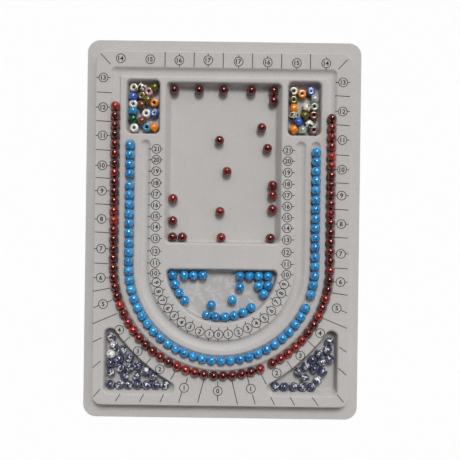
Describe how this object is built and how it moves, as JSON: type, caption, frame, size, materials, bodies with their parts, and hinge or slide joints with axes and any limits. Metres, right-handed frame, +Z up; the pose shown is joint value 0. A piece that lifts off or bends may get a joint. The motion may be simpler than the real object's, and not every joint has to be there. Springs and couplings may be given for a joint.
{
  "type": "bead board",
  "caption": "Flocked bead board with nested U channels, a long centre tray, a half-round tray, corner trays and the loose beads that lie in them.",
  "frame": {"origin": "on the table, under the middle of the board", "axes": "+Z up; +Y towards the end with the two small compartments; +X to the right as the scale is read"},
  "size_m": [0.24, 0.33, 0.0169],
  "materials": {
    "grey_flock": "grey flock on formed plastic sheet",
    "red_stone": "polished",
    "blue_stone": "satin, mottled",
    "veined_stone": "polished, veined in white",
    "mixed_glass": "opaque gloss in mixed colours"
  },
  "bodies": {
    "board": {"board_shell": "grey_flock"},
    "red_row": {"red_run_1": "red_stone", "red_run_2": "red_stone", "red_run_3": "red_stone", "red_run_4": "red_stone", "red_run_5": "red_stone", "red_run_6": "red_stone", "red_run_7": "red_stone", "red_run_8": "red_stone", "red_run_9": "red_stone", "red_run_10": "red_stone", "red_run_11": "red_stone", "red_run_12": "red_stone"},
    "blue_row": {"blue_run_1": "blue_stone", "blue_run_2": "blue_stone", "blue_run_3": "blue_stone", "blue_run_4": "blue_stone", "blue_run_5": "blue_stone", "blue_run_6": "blue_stone", "blue_run_7": "blue_stone", "blue_run_8": "blue_stone", "blue_run_9": "blue_stone", "blue_run_10": "blue_stone"},
    "red_bead_1": {"red_bead_1": "red_stone"},
    "red_bead_2": {"red_bead_2": "red_stone"},
    "red_bead_3": {"red_bead_3": "red_stone"},
    "red_bead_4": {"red_bead_4": "red_stone"},
    "red_bead_5": {"red_bead_5": "red_stone"},
    "red_bead_6": {"red_bead_6": "red_stone"},
    "red_bead_7": {"red_bead_7": "red_stone"},
    "red_bead_8": {"red_bead_8": "red_stone"},
    "red_bead_9": {"red_bead_9": "red_stone"},
    "red_bead_10": {"red_bead_10": "red_stone"},
    "red_bead_11": {"red_bead_11": "red_stone"},
    "red_bead_12": {"red_bead_12": "red_stone"},
    "red_bead_13": {"red_bead_13": "red_stone"},
    "red_bead_14": {"red_bead_14": "red_stone"},
    "red_bead_15": {"red_bead_15": "red_stone"},
    "red_bead_16": {"red_bead_16": "red_stone"},
    "red_bead_17": {"red_bead_17": "red_stone"},
    "red_bead_18": {"red_bead_18": "red_stone"},
    "red_bead_19": {"red_bead_19": "red_stone"},
    "red_bead_20": {"red_bead_20": "red_stone"},
    "half_round_left": {"blue_left_arc": "blue_stone", "blue_left_row": "blue_stone", "blue_bead_left": "blue_stone"},
    "half_round_right": {"blue_right_cluster": "blue_stone", "blue_bead_far": "blue_stone"},
    "half_round_near": {"blue_near_arc": "blue_stone", "blue_bead_middle": "blue_stone", "blue_bead_near": "blue_stone"},
    "left_corner_heap": {"left_corner_heap": "veined_stone"},
    "right_corner_heap": {"right_corner_heap": "veined_stone"},
    "left_compartment_heap": {"left_compartment_heap": "mixed_glass"},
    "right_compartment_heap": {"right_compartment_heap": "mixed_glass"}
  },
  "joints": [
    {"name": "red_row_lift", "type": "slide", "parent": "board", "child": "red_row", "axis": [0, 0, 1], "range_m": [0, 0.02]},
    {"name": "blue_row_lift", "type": "slide", "parent": "board", "child": "blue_row", "axis": [0, 0, 1], "range_m": [0, 0.02]},
    {"name": "red_bead_1_lift", "type": "slide", "parent": "board", "child": "red_bead_1", "axis": [0, 0, 1], "range_m": [0, 0.02]},
    {"name": "red_bead_2_lift", "type": "slide", "parent": "board", "child": "red_bead_2", "axis": [0, 0, 1], "range_m": [0, 0.02]},
    {"name": "red_bead_3_lift", "type": "slide", "parent": "board", "child": "red_bead_3", "axis": [0, 0, 1], "range_m": [0, 0.02]},
    {"name": "red_bead_4_lift", "type": "slide", "parent": "board", "child": "red_bead_4", "axis": [0, 0, 1], "range_m": [0, 0.02]},
    {"name": "red_bead_5_lift", "type": "slide", "parent": "board", "child": "red_bead_5", "axis": [0, 0, 1], "range_m": [0, 0.02]},
    {"name": "red_bead_6_lift", "type": "slide", "parent": "board", "child": "red_bead_6", "axis": [0, 0, 1], "range_m": [0, 0.02]},
    {"name": "red_bead_7_lift", "type": "slide", "parent": "board", "child": "red_bead_7", "axis": [0, 0, 1], "range_m": [0, 0.02]},
    {"name": "red_bead_8_lift", "type": "slide", "parent": "board", "child": "red_bead_8", "axis": [0, 0, 1], "range_m": [0, 0.02]},
    {"name": "red_bead_9_lift", "type": "slide", "parent": "board", "child": "red_bead_9", "axis": [0, 0, 1], "range_m": [0, 0.02]},
    {"name": "red_bead_10_lift", "type": "slide", "parent": "board", "child": "red_bead_10", "axis": [0, 0, 1], "range_m": [0, 0.02]},
    {"name": "red_bead_11_lift", "type": "slide", "parent": "board", "child": "red_bead_11", "axis": [0, 0, 1], "range_m": [0, 0.02]},
    {"name": "red_bead_12_lift", "type": "slide", "parent": "board", "child": "red_bead_12", "axis": [0, 0, 1], "range_m": [0, 0.02]},
    {"name": "red_bead_13_lift", "type": "slide", "parent": "board", "child": "red_bead_13", "axis": [0, 0, 1], "range_m": [0, 0.02]},
    {"name": "red_bead_14_lift", "type": "slide", "parent": "board", "child": "red_bead_14", "axis": [0, 0, 1], "range_m": [0, 0.02]},
    {"name": "red_bead_15_lift", "type": "slide", "parent": "board", "child": "red_bead_15", "axis": [0, 0, 1], "range_m": [0, 0.02]},
    {"name": "red_bead_16_lift", "type": "slide", "parent": "board", "child": "red_bead_16", "axis": [0, 0, 1], "range_m": [0, 0.02]},
    {"name": "red_bead_17_lift", "type": "slide", "parent": "board", "child": "red_bead_17", "axis": [0, 0, 1], "range_m": [0, 0.02]},
    {"name": "red_bead_18_lift", "type": "slide", "parent": "board", "child": "red_bead_18", "axis": [0, 0, 1], "range_m": [0, 0.02]},
    {"name": "red_bead_19_lift", "type": "slide", "parent": "board", "child": "red_bead_19", "axis": [0, 0, 1], "range_m": [0, 0.02]},
    {"name": "red_bead_20_lift", "type": "slide", "parent": "board", "child": "red_bead_20", "axis": [0, 0, 1], "range_m": [0, 0.02]},
    {"name": "half_round_left_lift", "type": "slide", "parent": "board", "child": "half_round_left", "axis": [0, 0, 1], "range_m": [0, 0.02]},
    {"name": "half_round_right_lift", "type": "slide", "parent": "board", "child": "half_round_right", "axis": [0, 0, 1], "range_m": [0, 0.02]},
    {"name": "half_round_near_lift", "type": "slide", "parent": "board", "child": "half_round_near", "axis": [0, 0, 1], "range_m": [0, 0.02]},
    {"name": "left_corner_heap_lift", "type": "slide", "parent": "board", "child": "left_corner_heap", "axis": [0, 0, 1], "range_m": [0, 0.02]},
    {"name": "right_corner_heap_lift", "type": "slide", "parent": "board", "child": "right_corner_heap", "axis": [0, 0, 1], "range_m": [0, 0.02]},
    {"name": "left_compartment_heap_lift", "type": "slide", "parent": "board", "child": "left_compartment_heap", "axis": [0, 0, 1], "range_m": [0, 0.02]},
    {"name": "right_compartment_heap_lift", "type": "slide", "parent": "board", "child": "right_compartment_heap", "axis": [0, 0, 1], "range_m": [0, 0.02]}
  ]
}
